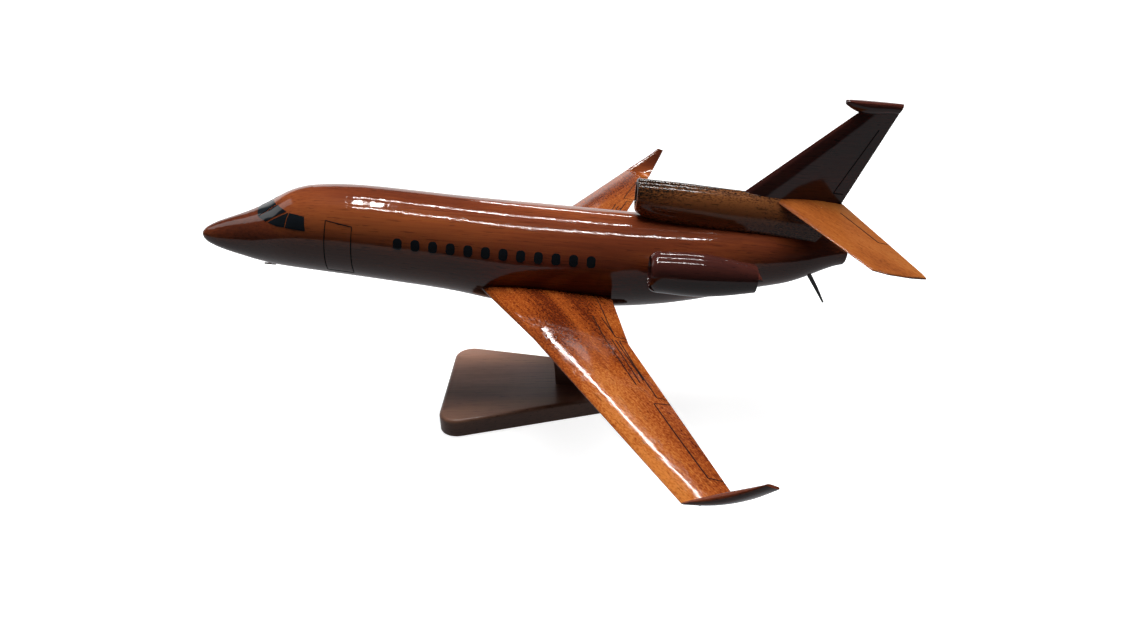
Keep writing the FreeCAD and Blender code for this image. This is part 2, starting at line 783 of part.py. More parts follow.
def peg_rod():
    top = Vector(peg_row_x, 0, peg_row_z)
    return top - peg_line * peg_in_neck, top + peg_line * (rest_gap + peg_in_belly)


# ---------------------------------------------------------------- the pieces
def stand_pieces():
    base = base_plan(0.0, felt_thickness).extrude(Vector(0, 0, base_thickness))
    base = base.makeFillet(base_corner, upright_edges(base))
    base = base.makeFillet(base_top_round, level_edges(base, base_top))
    base = base.makeFillet(base_foot_round, level_edges(base, felt_thickness))
    felt = base_plan(felt_inset, 0.0).extrude(Vector(0, 0, felt_thickness))
    felt = felt.makeFillet(base_corner - felt_inset, upright_edges(felt))
    neck = neck_blank()
    for x in screw_places():
        mouth = Part.makeCylinder(screw_head_radius + dowel_clearance, screw_below_felt_face,
                                  Vector(x, 0, felt_thickness))
        hole = screw(x, dowel_clearance)
        base = base.cut(hole).cut(mouth)
        neck = neck.cut(hole)
    low, high = peg_rod()
    neck = drill(neck, [(low, high, peg_radius)], running_clearance)
    screws = Part.makeCompound([slotted_screw(x) for x in screw_places()])
    peg = rod(low, high, peg_radius)
    rim = [e for e in peg.Edges if e.Length < 7 * peg_radius and e.BoundBox.ZLength < 2 * peg_radius]
    peg = peg.makeChamfer(peg_chamfer, rim)
    return {"stand_base": base, "felt_sheet": felt, "stand_neck": neck, "neck_screws": screws,
            "support_peg": peg}


def both_sides(rods):
    flipped = [(Vector(a.x, -a.y, a.z), Vector(b.x, -b.y, b.z), r) for a, b, r in rods]
    return rods + flipped


def rods_solid(rods):
    return Part.makeCompound([rod(a, b, r) for a, b, r in rods])


def flight_pieces():
    pieces = {}
    hull_fit = hull(glue_line)
    body = hull()
    body = body.makeFillet(tail_round, [e for e in body.Edges if e.BoundBox.XMin > hull_length - 1e-3])

    fuselage = drill(body, both_sides(wing_dowels()) + both_sides(pylon_dowels()) + duct_dowels()
                     + probe_roots())
    floor = Vector(hull_length - tail_exhaust_depth, 0, hull_axis(hull_length))
    exhaust = Part.makeCone(tail_exhaust_floor_radius, tail_exhaust_radius, tail_exhaust_depth, floor,
                            Vector(1, 0, 0))
    fuselage = fuselage.cut(exhaust)
    aerial = tail_aerial()
    fuselage = fuselage.cut(aerial)
    belly = Vector(peg_station, 0, rest_level)
    bore_end = belly + Vector(0, 0, rest_gap + peg_in_belly)
    fuselage = drill(fuselage, [(belly - Vector(0, 0, peg_radius), bore_end, peg_radius)], running_clearance)
    pieces["fuselage"] = fuselage
    pieces["tail_antenna"] = aerial
    pieces["nose_probes"] = Part.makeCompound([nose_probe(-1), nose_probe(1)])

    wing = drill(wing_blank().cut(hull_fit), wing_dowels() + winglet_pins())
    winglet = drill(winglet_blank(), winglet_pins())
    pieces["wing_right"], pieces["wing_left"] = wing, mirror(wing)
    pieces["winglet_right"], pieces["winglet_left"] = winglet, mirror(winglet)
    pieces["wing_dowels"] = rods_solid(both_sides(wing_dowels()))
    pieces["winglet_pins"] = rods_solid(both_sides(winglet_pins()))

    nacelle = drill(nacelle_blank(), pylon_dowels())
    pylon = drill(pylon_blank().cut(hull_fit).cut(nacelle_blank(glue_line, False)), pylon_dowels())
    pieces["nacelle_right"], pieces["nacelle_left"] = nacelle, mirror(nacelle)
    pieces["pylon_right"], pieces["pylon_left"] = pylon, mirror(pylon)
    pieces["nacelle_dowels"] = rods_solid(both_sides(pylon_dowels()))

    duct_fit, fin_fit = duct_blank(glue_line), fin_blank(glue_line)
    duct = duct_blank().cut(hull_fit).cut(duct_bore())
    pieces["center_engine_duct"] = drill(duct, duct_dowels() + fin_dowels() + stab_dowels())
    pieces["duct_dowels"] = rods_solid(duct_dowels())
    fairing = fairing_blank().cut(fin_fit)
    pieces["fin"] = drill(fin_blank().cut(duct_fit), fin_dowels())
    pieces["fin_tip_fairing"] = fairing
    pieces["fin_dowels"] = rods_solid(fin_dowels())
    stab = drill(stab_blank().cut(duct_fit).cut(fin_fit).cut(hull_fit), stab_dowels())
    pieces["stabilizer_right"], pieces["stabilizer_left"] = stab, mirror(stab)
    pieces["stabilizer_dowels"] = rods_solid(stab_dowels())

    skin = film()
    panes = [pane_prism(corners, side) for corners in cockpit_panes for side in (-1, 1)]
    pieces["cockpit_windows"] = skin.common(Part.makeCompound(panes))
    pieces["cabin_windows_right"] = skin.common(cabin_plugs(1))
    pieces["cabin_windows_left"] = mirror(pieces["cabin_windows_right"])
    return pieces


def main():
    os.makedirs("parts", exist_ok=True)
    pieces = stand_pieces()
    for name, shape in flight_pieces().items():
        pieces[name] = seat(shape)
    for name, shape in sorted(pieces.items()):
        shape.exportStep(os.path.join("parts", name + ".step"))
        solids = shape.Solids
        volume = sum(s.Volume for s in solids) / 1000
        print(f"{name}: {len(solids)} solid(s), {volume:.3f} cm3, valid {shape.isValid()}")


main()
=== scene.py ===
# %% [markdown]
# # A carved mahogany business jet on its stand
#
# The model is turned, sawn and carved from mahogany, stained in several browns, and varnished to
# a high gloss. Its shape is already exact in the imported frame, so this lesson spends its effort
# on finish: the figure of each board, the varnish, the scribed panel lines, the glazing and the
# felt. We load the frame first, because every piece is placed from it.

# %% Load the frame
import json
import math

import bmesh
import bpy
from mathutils import Matrix, Vector


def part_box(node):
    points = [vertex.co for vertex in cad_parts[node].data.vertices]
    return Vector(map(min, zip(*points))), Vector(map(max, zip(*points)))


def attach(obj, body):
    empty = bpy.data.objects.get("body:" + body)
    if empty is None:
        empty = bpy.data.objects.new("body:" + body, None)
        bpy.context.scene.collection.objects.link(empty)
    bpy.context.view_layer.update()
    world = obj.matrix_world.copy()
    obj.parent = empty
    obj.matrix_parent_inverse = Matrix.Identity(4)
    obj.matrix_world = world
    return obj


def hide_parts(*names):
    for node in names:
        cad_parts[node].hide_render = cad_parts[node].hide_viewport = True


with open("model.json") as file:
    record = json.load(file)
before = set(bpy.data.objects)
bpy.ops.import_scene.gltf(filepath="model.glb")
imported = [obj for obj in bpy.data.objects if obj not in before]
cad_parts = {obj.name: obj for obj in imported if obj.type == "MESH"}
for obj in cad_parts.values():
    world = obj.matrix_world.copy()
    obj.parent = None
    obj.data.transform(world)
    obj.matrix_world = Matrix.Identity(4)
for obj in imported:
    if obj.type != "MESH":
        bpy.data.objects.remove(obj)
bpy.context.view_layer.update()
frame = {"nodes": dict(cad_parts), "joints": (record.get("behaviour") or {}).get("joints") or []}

# %% [markdown]
# ## The camera
#
# It stands to port, a little above the model, at an arm's length, so the perspective is strong.
# A look-at constraint would level it, but this view is tipped by two degrees, so the camera's
# right, up and forward directions are written out and made into its matrix.

# %% Camera
EYE = Vector((0.03474, -0.46798, 0.29123))
FORWARD = Vector((-0.03142, 0.89556, -0.44382)).normalized()
RIGHT = Vector((0.99933, 0.01978, -0.03083)).normalized()


def make_camera():
    lens = bpy.data.cameras.new("camera")
    lens.lens = 25.674
    lens.sensor_width = 36.0
    lens.clip_start = 0.01
    camera = bpy.data.objects.new("camera", lens)
    bpy.context.scene.collection.objects.link(camera)
    up = RIGHT.cross(FORWARD)
    turn = Matrix((RIGHT, up, -FORWARD)).transposed().to_4x4()
    camera.matrix_world = Matrix.Translation(EYE) @ turn
    bpy.context.scene.camera = camera
    return camera


camera = make_camera()
print(f"camera {EYE.length * 1000:.0f} mm from the foot of the stand")

# %% [markdown]
# ## The aeroplane's own axes
#
# On the stand the aeroplane points six degrees nose-up. Grain and panel lines are much easier to
# think of in its own axes: millimetres behind the nose, to starboard, and up. The swivel joint
# gives both the pivot and the tilt, so `seat` needs only where the peg meets the belly.

# %% From the aeroplane's axes to the stand's
swivel = next(j for j in frame["joints"] if j["type"] == "hinge")
PIVOT = Vector(swivel["pos_m"])
PEG_AXIS = Vector(swivel["axis"])
PITCH = math.atan2(PEG_AXIS.x, PEG_AXIS.z)
BELLY = Vector((228.0, 0.0, -34.507))


def seat(x, y, z):
    """A point given in the aeroplane's millimetres, in the stand's metres."""
    return PIVOT + Matrix.Rotation(PITCH, 3, "Y") @ ((Vector((x, y, z)) - BELLY) / 1000)


def seat_direction(x, y, z):
    return Matrix.Rotation(PITCH, 3, "Y") @ Vector((x, y, z)).normalized()


print("nose tip at", [round(v * 1000, 1) for v in seat(0, 0, -6.2)])

# %% [markdown]
# ## A short way to write node trees
#
# Finishes and repeated details are both node trees. `Graph.node` makes any node: its type, its
# settings, then the values or links of its sockets. `Number` wraps a socket that carries a
# number, so that `0.3 * pores + 1` writes the Math nodes for us.


# %% Node graph helpers
class Number:
    """A socket that carries a number, ready for arithmetic."""

    def __init__(self, graph, socket):
        self.graph = graph
        self.socket = socket

    def __add__(self, other):
        return self.graph.math("ADD", self, other)

    def __sub__(self, other):
        return self.graph.math("SUBTRACT", self, other)

    def __rsub__(self, other):
        return self.graph.math("SUBTRACT", other, self)

    def __mul__(self, other):
        return self.graph.math("MULTIPLY", self, other)

    __radd__ = __add__
    __rmul__ = __mul__


class Graph:
    """A node tree that is written as Python."""

    def __init__(self, tree):
        self.tree = tree

    def node(self, kind, settings=None, inputs=None):
        """Makes a node, gives it its settings first, then the values or links of its sockets."""
        node = self.tree.nodes.new(kind)
        for name, value in (settings or {}).items():
            if name == "stops":
                self.set_stops(node.color_ramp, value)
            else:
                setattr(node, name, value)
        for name, value in (inputs or {}).items():
            self.feed(node.inputs[name], value)
        return node

    def feed(self, socket, value):
        if isinstance(value, Number):
            value = value.socket
        if isinstance(value, bpy.types.NodeSocket):
            self.tree.links.new(value, socket)
        else:
            socket.default_value = value

    def set_stops(self, ramp, stops):
        while len(ramp.elements) < len(stops):
            ramp.elements.new(1.0)
        for element, (position, colour) in zip(ramp.elements, stops):
            element.position = position
            element.color = (*colour, 1.0)

    def math(self, operation, *values):
        inputs = dict(enumerate(values))
        made = self.node("ShaderNodeMath", {"operation": operation}, inputs)
        return Number(self, made.outputs[0])

    def vector_math(self, operation, *values):
        inputs = dict(enumerate(values))
        return self.node("ShaderNodeVectorMath", {"operation": operation}, inputs).outputs[0]

    def rise(self, value, low, high):
        """0 below low, 1 above high, smooth between them."""
        inputs = {"Value": value, "From Min": low, "From Max": high}
        made = self.node("ShaderNodeMapRange", {"interpolation_type": "SMOOTHSTEP"}, inputs)
        return Number(self, made.outputs["Result"])


print("Number and Graph are ready")

# %% [markdown]
# ## Finishes
#
# Every finish is a Principled shader fed by a few textures in object coordinates, so a pattern
# stays fixed in the wood as it would in a solid block. `Finish` is a Graph with three things
# more: the coordinates, noise at a given fineness, and the shader at the end.


# %% Finish helper
class Finish(Graph):
    """A material under way."""

    def __init__(self, name):
        self.material = bpy.data.materials.new(name)
        self.material.use_nodes = True
        super().__init__(self.material.node_tree)
        self.tree.nodes.clear()

    def coordinates(self):
        return self.node("ShaderNodeTexCoord").outputs["Object"]

    def noise(self, where, fineness, detail=2.0, roughness=0.5):
        """Noise whose lumps are 1 / fineness metres long on each axis."""
        scaled = self.vector_math("MULTIPLY", where, fineness)
        inputs = {"Vector": scaled, "Scale": 1.0, "Detail": detail, "Roughness": roughness}
        return Number(self, self.node("ShaderNodeTexNoise", {}, inputs).outputs[0])

    def mix(self, share, under, over):
        inputs = {0: share, 6: as_colour(under), 7: as_colour(over)}
        return self.node("ShaderNodeMix", {"data_type": "RGBA"}, inputs).outputs[2]

    def bump(self, height, distance):
        inputs = {"Height": height, "Strength": 1.0, "Distance": distance}
        return self.node("ShaderNodeBump", {}, inputs).outputs["Normal"]

    def finish(self, sockets):
        shader = self.node("ShaderNodeBsdfPrincipled", {}, sockets)
        self.node("ShaderNodeOutputMaterial", {}, {"Surface": shader.outputs[0]})
        return self.material


def as_colour(value):
    return (*value, 1.0) if isinstance(value, tuple) else value


print("Finish is ready")

# %% [markdown]
# ## Varnished mahogany
#
# Mahogany shows four things at once: broad light and dark clouds where the fibres turn, thin
# contours where the cut crosses the growth rings, fine fibres, and short dark pores. All of
# them are stretched along the grain, so the coordinates are turned until X runs along it. The
# contours are level lines of a smooth noise, which close into the arches of a carved board.
# The varnish is the shader's own gloss. It has a faint ripple, which breaks up long highlights.

# %% Varnished mahogany
GRAIN_ALONG_HULL = (0.0, -PITCH, 0.0)
GRAIN_ALONG_WING = (0.0, -PITCH, -math.radians(63.0))
GRAIN_ALONG_STABILIZER = (0.0, -PITCH, -math.radians(58.0))


def varnished_mahogany(name, stain, grain, contours, stipple,
                       gloss=0.1, ripple=0.00003, shine=0.35):
    """stain is (dark, middle, light), contours how many rings show, stipple how mottled it is."""
    wood = Finish(name)
    parts = wood.node("ShaderNodeSeparateXYZ", {}, {0: wood.coordinates()})
    across = wood.math("ABSOLUTE", parts.outputs[1])
    board = wood.math("SIGN", parts.outputs[1]) * 0.17
    folded = wood.node("ShaderNodeCombineXYZ", {},
                       {0: parts.outputs[0], 1: across, 2: parts.outputs[2]}).outputs[0]
    turned = wood.node("ShaderNodeMapping", {}, {"Vector": folded, "Rotation": grain}).outputs[0]
    shift = wood.node("ShaderNodeCombineXYZ", {}, {0: board, 1: board, 2: 0.0}).outputs[0]
    place = wood.vector_math("ADD", turned, shift) if stipple > 0 else turned
    clouds = wood.noise(place, (7.0, 26.0, 26.0), 2.0, 0.45)
    rings = wood.noise(place, (3.2, 19.0, 24.0), 1.0, 0.35)
    contour = wood.math("SINE", rings * (6.2832 * contours)) * 0.5 + 0.5
    fibres = wood.noise(place, (22.0, 800.0, 800.0), 3.0, 0.6)
    flecks = wood.noise(place, (620.0, 1300.0, 1300.0), 2.0, 0.6)
    pores = wood.rise(wood.noise(place, (95.0, 1500.0, 1500.0), 1.0, 0.5), 0.62, 0.74)
    tone = clouds * 0.85 + contour * 0.16 + fibres * 0.32 + flecks * stipple - (0.16 + stipple / 2)
    stops = [(0.28, stain[0]), (0.5, stain[1]), (0.74, stain[2])]
    colour = wood.node("ShaderNodeValToRGB", {"stops": stops}, {0: tone}).outputs[0]
    colour = wood.mix(pores * 0.55, colour, tuple(c * 0.45 for c in stain[0]))
    swell = wood.noise(place, (160.0, 260.0, 260.0), 2.0, 0.5)
    height = swell + fibres * 0.12 - pores * 0.1
    return wood.finish({
        "Base Color": colour,
        "Roughness": fibres * 0.05 + gloss,
        "Specular IOR Level": shine,
        "Normal": wood.bump(height, ripple),
        "Coat Weight": 0.25,
        "Coat Roughness": 0.03,
    })


print("varnished_mahogany is ready")

# %% [markdown]
# ## One stain for each kind of piece
#
# The fuselage is reddish brown, the wings and stabilizers are orange and lively, the fin and the
# pods are dark, and the centre duct is a coarse grey-brown board. The stand is only satin, with
# straight grain. The winglets take the fuselage's darker stain, partly because their wood is darker
# than the wings' and partly as painted shade for the shade on their outer faces. The
# colours are (dark, middle, light), as linear red, green and blue.

# %% Wood finishes
fuselage_wood = varnished_mahogany(
    "fuselage_mahogany", ((0.070, 0.016, 0.008), (0.17, 0.036, 0.013), (0.32, 0.080, 0.022)),
    GRAIN_ALONG_HULL, 5.0, 0.0, gloss=0.05, ripple=0.00004)
wing_wood = varnished_mahogany(
    "wing_mahogany", ((0.09, 0.014, 0.004), (0.30, 0.062, 0.010), (0.52, 0.17, 0.034)),
    GRAIN_ALONG_WING, 6.0, 0.75, gloss=0.06, ripple=0.00006)
stabilizer_wood = varnished_mahogany(
    "stabilizer_mahogany", ((0.15, 0.032, 0.009), (0.33, 0.090, 0.018), (0.46, 0.16, 0.036)),
    GRAIN_ALONG_STABILIZER, 4.0, 0.25)
pod_wood = varnished_mahogany(
    "pod_mahogany", ((0.020, 0.007, 0.006), (0.048, 0.013, 0.011), (0.085, 0.021, 0.014)),
    GRAIN_ALONG_HULL, 3.0, 0.0, gloss=0.06)
duct_wood = varnished_mahogany(
    "duct_dark_wood", ((0.003, 0.002, 0.0015), (0.022, 0.011, 0.006), (0.25, 0.085, 0.026)),
    GRAIN_ALONG_HULL, 3.0, 0.8, shine=0.25)
stand_wood = varnished_mahogany(
    "stand_mahogany", ((0.090, 0.040, 0.027), (0.180, 0.085, 0.056), (0.290, 0.140, 0.088)),
    (0.0, 0.0, 0.0), 2.0, 0.0, gloss=0.34, ripple=0.00001, shine=0.3)
print("six wood finishes")

# %% [markdown]
# ## The other finishes
#
# The glazing is gloss paint with a hint of blue. The small fittings are polished steel with fine
# draw marks, so their roughness is streaked along one axis. The dowels are plain beech, and the
# felt is a dense mat of fibres, which catches light at its edges.


# %% Paint, steel, beech and felt
def window_paint():
    paint = Finish("window_black")
    drift = paint.noise(paint.coordinates(), (90.0, 90.0, 90.0))
    return paint.finish({
        "Base Color": paint.mix(drift, (0.004, 0.006, 0.009), (0.010, 0.014, 0.018)),
        "Roughness": drift * 0.08 + 0.05,
        "Normal": paint.bump(drift, 0.00002),
    })


def aerial_paint():
    paint = Finish("antenna_black")
    drift = paint.noise(paint.coordinates(), (600.0, 600.0, 300.0))
    return paint.finish({
        "Base Color": paint.mix(drift, (0.008, 0.011, 0.014), (0.020, 0.028, 0.034)),
        "Roughness": drift * 0.15 + 0.2,
        "Normal": paint.bump(drift, 0.00003),
    })


def drawn_steel(name, tint, dull):
    steel = Finish(name)
    marks = steel.noise(steel.coordinates(), (2500.0, 2500.0, 60.0), 3.0)
    return steel.finish({
        "Base Color": steel.mix(marks, tint, tuple(c * 0.72 for c in tint)),
        "Metallic": 1.0,
        "Roughness": marks * 0.2 + dull,
        "Normal": steel.bump(marks, 0.00001),
    })


def beech():
    wood = Finish("dowel_wood")
    fibres = wood.noise(wood.coordinates(), (700.0, 700.0, 700.0), 3.0)
    return wood.finish({
        "Base Color": wood.mix(fibres, (0.50, 0.31, 0.15), (0.34, 0.19, 0.085)),
        "Roughness": fibres * 0.2 + 0.5,
        "Normal": wood.bump(fibres, 0.00005),
    })


def felt_mat():
    felt = Finish("felt")
    fluff = felt.noise(felt.coordinates(), (1800.0, 1800.0, 1800.0), 4.0, 0.7)
    clumps = felt.noise(felt.coordinates(), (260.0, 260.0, 260.0))
    return felt.finish({
        "Base Color": felt.mix(fluff * 0.7 + clumps * 0.3,
                               (0.006, 0.022, 0.012), (0.020, 0.062, 0.034)),
        "Roughness": 0.95,
        "Sheen Weight": 0.4,
        "Specular IOR Level": 0.15,
        "Normal": felt.bump(fluff, 0.0002),
    })


glazing = window_paint()
aerial_finish = aerial_paint()
fitting_steel = drawn_steel("fitting_metal", (0.62, 0.61, 0.60), 0.14)
peg_steel = drawn_steel("peg_steel", (0.58, 0.58, 0.59), 0.18)
screw_steel = drawn_steel("screw_steel", (0.66, 0.58, 0.42), 0.25)
dowel_finish = beech()
felt_finish = felt_mat()
print("seven more finishes")

# %% [markdown]
# ## Put the finishes on the frame's pieces
#
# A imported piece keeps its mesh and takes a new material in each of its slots.

# %% Assign finishes
FINISH_OF_SLOT = {
    "fuselage_mahogany": fuselage_wood,
    "wing_mahogany": wing_wood,
    "pod_mahogany": pod_wood,
    "duct_dark_wood": duct_wood,
    "stand_mahogany": stand_wood,
    "dowel_wood": dowel_finish,
    "window_black": glazing,
    "antenna_black": aerial_finish,
    "fitting_metal": fitting_steel,
    "peg_steel": peg_steel,
    "screw_steel": screw_steel,
    "felt": felt_finish,
}

for name, piece in frame["nodes"].items():
    for slot in piece.material_slots:
        slot_name = slot.material.name
        slot.material = FINISH_OF_SLOT[slot_name]
        if name.startswith("stabilizer_") and slot_name == "wing_mahogany":
            slot.material = stabilizer_wood
        # The winglets take the darker fuselage stain: partly darker wood, partly painted shade.
        if name.startswith("winglet_") and slot_name == "wing_mahogany":
            slot.material = fuselage_wood
print(f"{len(frame['nodes'])} pieces finished")

# %% [markdown]
# ## Scribed panel lines
#
# Flaps, spoilers, ailerons, rudder, elevators and the cabin door are scribed with a knife and
# stained dark. Each is drawn here as a few corners in plan or side view. A Geometry Nodes tree
# does the rest: it divides the drawing finely, casts every point onto the carved surface, and
# sweeps a round profile along it, sunk until only a thin lens stands out. Casting keeps the line
# on the wood whatever the wood's shape is, which drawing in three dimensions would not.


# %% The scribing tree
def tree_input(tree, name, kind):
    return tree.interface.new_socket(name=name, in_out="INPUT", socket_type=kind)


def scribing_tree():
    tree = bpy.data.node_groups.new("scribed_line", "GeometryNodeTree")
    tree_input(tree, "Drawing", "NodeSocketGeometry")
    tree_input(tree, "Surface", "NodeSocketObject")
    tree_input(tree, "Cast", "NodeSocketVector")
    tree_input(tree, "Step", "NodeSocketFloat")
    tree_input(tree, "Radius", "NodeSocketFloat")
    tree_input(tree, "Sink", "NodeSocketFloat")
    tree_input(tree, "Finish", "NodeSocketMaterial")
    tree.interface.new_socket(name="Lines", in_out="OUTPUT", socket_type="NodeSocketGeometry")
    g = Graph(tree)
    given = g.node("NodeGroupInput").outputs
    surface = g.node("GeometryNodeObjectInfo", {}, {"Object": given["Surface"]}).outputs["Geometry"]
    curve = g.node("GeometryNodeMeshToCurve", {}, {"Mesh": given["Drawing"]}).outputs["Curve"]
    fine = g.node("GeometryNodeResampleCurve", {"mode": "LENGTH"},
                  {"Curve": curve, "Length": given["Step"]}).outputs["Curve"]
    hit = g.node("GeometryNodeRaycast", {}, {
        "Target Geometry": surface, "Ray Direction": given["Cast"], "Ray Length": 0.2}).outputs
    missed = g.node("FunctionNodeBooleanMath", {"operation": "NOT"}, {0: hit["Is Hit"]}).outputs[0]
    kept = g.node("GeometryNodeDeleteGeometry", {},
                  {"Geometry": fine, "Selection": missed}).outputs[0]
    depth = g.node("ShaderNodeVectorMath", {"operation": "SCALE"},
                   {0: hit["Hit Normal"], "Scale": g.math("MULTIPLY", given["Sink"], -1.0)}).outputs[0]
    laid = g.node("GeometryNodeSetPosition", {}, {
        "Geometry": kept,
        "Position": g.vector_math("ADD", hit["Hit Position"], depth)}).outputs["Geometry"]
    ring = g.node("GeometryNodeCurvePrimitiveCircle", {},
                  {"Resolution": 8, "Radius": given["Radius"]})
    swept = g.node("GeometryNodeCurveToMesh", {}, {
        "Curve": laid, "Profile Curve": ring.outputs["Curve"], "Fill Caps": True}).outputs["Mesh"]
    real = g.node("GeometryNodeRealizeInstances", {}, {"Geometry": swept}).outputs["Geometry"]
    done = g.node("GeometryNodeSetMaterial", {}, {"Geometry": real, "Material": given["Finish"]})
    g.node("NodeGroupOutput", {}, {"Lines": done.outputs["Geometry"]})
    return tree


scribing = scribing_tree()
print(f"scribing tree of {len(scribing.nodes)} nodes")

# %% [markdown]
# ## Draw the lines
#
# A drawing is only a mesh of edges held clear of the surface, on the side the knife comes from.
# Both wings and both stabilizers carry the same lines, mirrored, and the door is to port.


# %% Drawings
def stain_in_cut():
    stain = Finish("scribed_stain")
    drift = stain.noise(stain.coordinates(), (700.0, 700.0, 700.0))
    return stain.finish({
        "Base Color": stain.mix(drift, (0.007, 0.004, 0.003), (0.022, 0.010, 0.007)),
        "Roughness": drift * 0.2 + 0.7,
        "Specular IOR Level": 0.05,
    })


def drawing(name, strokes):
    """A mesh of open polylines. strokes are lists of points in metres."""
    points, edges = [], []
    for stroke in strokes:
        start = len(points)
        points.extend(stroke)
        edges.extend((start + i, start + i + 1) for i in range(len(stroke) - 1))
    mesh = bpy.data.meshes.new(name)
    mesh.from_pydata(points, edges, [])
    piece = bpy.data.objects.new(name, mesh)
    bpy.context.scene.collection.objects.link(piece)
    return piece


def run_tree(piece, tree, values):
    """Applies a Geometry Nodes tree with its inputs set, and leaves a plain mesh."""
    modifier = piece.modifiers.new(tree.name, "NODES")
    modifier.node_group = tree
    for item in tree.interface.items_tree:
        if item.in_out == "INPUT" and item.name in values:
            modifier[item.identifier] = values[item.name]
    bpy.context.view_layer.update()
    graph = bpy.context.evaluated_depsgraph_get()
    made = bpy.data.meshes.new_from_object(piece.evaluated_get(graph))
    piece.modifiers.remove(modifier)
    piece.data = made
    return piece


def join(name, parts):
    """Several meshes in one new piece."""
    whole = bmesh.new()
    for part in parts:
        whole.from_mesh(part.data)
    mesh = bpy.data.meshes.new(name)
    whole.to_mesh(mesh)
    whole.free()
    for polygon in mesh.polygons:
        polygon.use_smooth = True
    mesh.materials.append(parts[0].data.materials[0])
    for part in parts:
        bpy.data.objects.remove(part)
    piece = bpy.data.objects.new(name, mesh)
    bpy.context.scene.collection.objects.link(piece)
    return piece


WING_STROKES = [
    [(243, 27), (246, 32), (249, 49), (252, 68), (255, 83), (262.5, 84)],
    [(266, 88), (257, 87), (263, 113), (272, 146), (278, 147)],
    [(279, 151), (270, 152), (278, 179), (287, 208), (293, 209)],
    [(243, 60), (250, 90)],
    [(248, 59), (254, 79)],
    [(250, 90), (263, 136)],
    [(253, 87), (265, 133)],
    [(255, 87), (267, 130)],
]
STABILIZER_STROKES = [[(384, 15), (397, 47), (405, 48)]]
RUDDER_STROKES = [[(399.8, 89.7), (381.8, 50.6), (388, 50.1)]]
DOOR_STROKES = [[(83.9, 17.2), (99.6, 15.0), (98.3, -16.5), (82.2, -15.9), (83.9, 17.2)]]
ABOVE = 70.0
ASIDE = 60.0
line_stain = stain_in_cut()


def scribe(surface, strokes, cast):
    piece = drawing("drawing", strokes)
    return run_tree(piece, scribing, {
        "Surface": frame["nodes"][surface], "Cast": cast, "Step": 0.0012,
        "Radius": 0.00045, "Sink": 0.00025, "Finish": line_stain,
    })


def scribe_all():
    made = []
    down = seat_direction(0, 0, -1)
    for side, word in ((1, "right"), (-1, "left")):
        plan = [[seat(x, side * y, ABOVE) for x, y in stroke] for stroke in WING_STROKES]
        made.append(scribe("wing_" + word, plan, down))
        plan = [[seat(x, side * y, ABOVE) for x, y in stroke] for stroke in STABILIZER_STROKES]
        made.append(scribe("stabilizer_" + word, plan, down))
        view = [[seat(x, side * ASIDE, z) for x, z in stroke] for stroke in RUDDER_STROKES]
        made.append(scribe("fin", view, Vector((0, -side, 0))))
    view = [[seat(x, -ASIDE, z) for x, z in stroke] for stroke in DOOR_STROKES]
    made.append(scribe("fuselage", view, Vector((0, 1, 0))))
    return join("scribed_lines", made)


scribed_lines = scribe_all()
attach(scribed_lines, "airframe")
print(f"scribed lines: {len(scribed_lines.data.polygons)} faces")

# %% [markdown]
# ## Felt under the base
#
# Green-black felt is glued under the base so that it doesn't mark a table. Cut felt has no hard
# corner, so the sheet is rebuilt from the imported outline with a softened, slightly uneven edge.
# A few rings of points, each a little further in and at its own height, make a closed sheet.


# %% Felt
def outline_of(node):
    """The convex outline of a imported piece, seen from above."""
    vertices = frame["nodes"][node].data.vertices
    points = sorted({(round(v.co.x, 5), round(v.co.y, 5)) for v in vertices})

    def half(run):
        chain = []
        for x, y in run:
            while len(chain) > 1 and turn_of(chain[-2], chain[-1], (x, y)) <= 0:
                chain.pop()
            chain.append((x, y))
        return chain[:-1]

    return half(points) + half(points[::-1])


def turn_of(a, b, c):
    return (b[0] - a[0]) * (c[1] - a[1]) - (b[1] - a[1]) * (c[0] - a[0])


def even_outline(points, step):
    """The same closed outline with a point every step metres."""
    spread = []
    for (ax, ay), (bx, by) in zip(points, points[1:] + points[:1]):
        count = max(1, round(math.hypot(bx - ax, by - ay) / step))
        spread.extend((ax + (bx - ax) * i / count, ay + (by - ay) * i / count)
                      for i in range(count))
    return spread


def felt_sheet():
    low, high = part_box("felt_sheet")
    thick = high.z - low.z
    edge = even_outline(outline_of("felt_sheet"), 0.0025)
    rings = [(0.0080, 1.0), (0.0012, 0.99), (0.0003, 0.86), (0.0001, 0.5),
             (0.0003, 0.14), (0.0012, 0.01), (0.0080, 0.0)]
    build = bmesh.new()
    loops = []
    for inset, share in rings:
        loop = []
        for i, (x, y) in enumerate(edge):
            ragged = 0.00008 * math.sin(i * 2.3) * math.sin(i * 0.71)
            shrink = 1 - (inset + abs(ragged)) / math.hypot(x, y)
            loop.append(build.verts.new((x * shrink, y * shrink, low.z + thick * share)))
        loops.append(loop)
    for upper, lower in zip(loops, loops[1:]):
        for i in range(len(edge)):
            j = (i + 1) % len(edge)
            build.faces.new((upper[i], lower[i], lower[j], upper[j]))
    build.faces.new(loops[0])
    build.faces.new(loops[-1][::-1])
    bmesh.ops.recalc_face_normals(build, faces=build.faces)
    mesh = bpy.data.meshes.new("felt_pad")
    build.to_mesh(mesh)
    build.free()
    for polygon in mesh.polygons:
        polygon.use_smooth = True
    mesh.materials.append(felt_finish)
    piece = bpy.data.objects.new("felt_pad", mesh)
    bpy.context.scene.collection.objects.link(piece)
    return piece


def polygon_area(points):
    pairs = zip(points, points[1:] + points[:1])
    return abs(sum(ax * by - bx * ay for (ax, ay), (bx, by) in pairs)) / 2


felt_pad = felt_sheet()
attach(felt_pad, "stand")
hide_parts("felt_sheet")
polygon_area(outline_of("felt_sheet"))
print(f"felt pad: {len(felt_pad.data.polygons)} faces")

